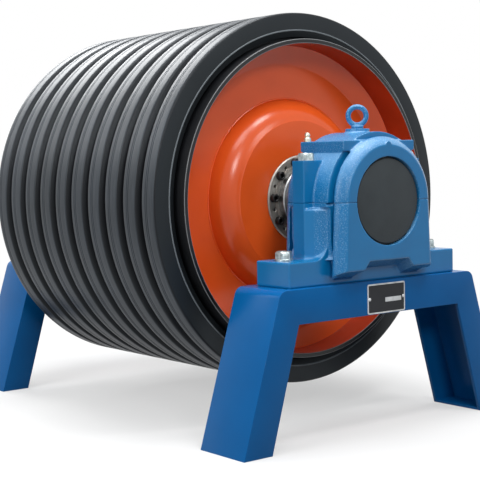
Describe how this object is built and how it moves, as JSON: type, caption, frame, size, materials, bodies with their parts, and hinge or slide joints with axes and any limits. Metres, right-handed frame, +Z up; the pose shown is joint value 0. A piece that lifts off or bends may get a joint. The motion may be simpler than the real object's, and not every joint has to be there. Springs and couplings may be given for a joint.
{
  "type": "conveyor pulley drum",
  "caption": "Rubber-lagged conveyor drum pulley turning with its shaft in two plummer blocks on folded-plate trestle stands.",
  "frame": {"origin": "on the floor, midway between the two stands and under the middle of the shaft", "axes": "+Z up, +Y along the shaft from the near stand to the far one, +X across the stands"},
  "size_m": [0.8, 1.13, 0.874],
  "materials": {
    "lagging_rubber": "satin moulded rubber",
    "shell_paint": "dark primer",
    "disc_paint": "orange enamel",
    "shaft_steel": "ground",
    "locking_steel": "phosphated steel",
    "bearing_steel": "ground",
    "seal_steel": "turned",
    "trestle_paint": "gloss blue enamel",
    "housing_paint": "blue enamel on rough castings",
    "cover_plastic": "black",
    "zinc": "zinc plated"
  },
  "bodies": {
    "stands": {"near_trestle": "trestle_paint", "far_trestle": "trestle_paint", "housing_bases": "housing_paint", "housing_caps": "housing_paint", "bearing_outer_rings": "bearing_steel", "end_covers": "cover_plastic", "cap_bolts": "zinc", "foot_bolts": "zinc", "foot_washers": "zinc", "foot_nuts": "zinc", "eye_bolts": "housing_paint"},
    "drum": {"lagging": "lagging_rubber", "shell_tube": "shell_paint", "near_end_disc": "disc_paint", "far_end_disc": "disc_paint", "shaft": "shaft_steel", "lock_outer_rings": "locking_steel", "lock_inner_rings": "locking_steel", "adapter_sleeves": "bearing_steel", "bearing_inner_rings": "bearing_steel", "lock_nuts": "bearing_steel", "seal_rings": "seal_steel"},
    "near_rollers": {"near_roller_set": "bearing_steel"},
    "far_rollers": {"far_roller_set": "bearing_steel"}
  },
  "joints": [
    {"name": "drum_spin", "type": "hinge", "parent": "stands", "child": "drum", "pos_m": [0, 0, 0.474], "axis": [0, 1, 0], "continuous": true},
    {"name": "near_roller_spin", "type": "hinge", "parent": "stands", "child": "near_rollers", "pos_m": [0, -0.475, 0.474], "axis": [0, 1, 0], "continuous": true},
    {"name": "far_roller_spin", "type": "hinge", "parent": "stands", "child": "far_rollers", "pos_m": [0, 0.475, 0.474], "axis": [0, 1, 0], "continuous": true}
  ],
  "couplings": [
    {"joint": "near_roller_spin", "follows": "drum_spin", "ratio": 0.4293},
    {"joint": "far_roller_spin", "follows": "drum_spin", "ratio": 0.4293}
  ]
}
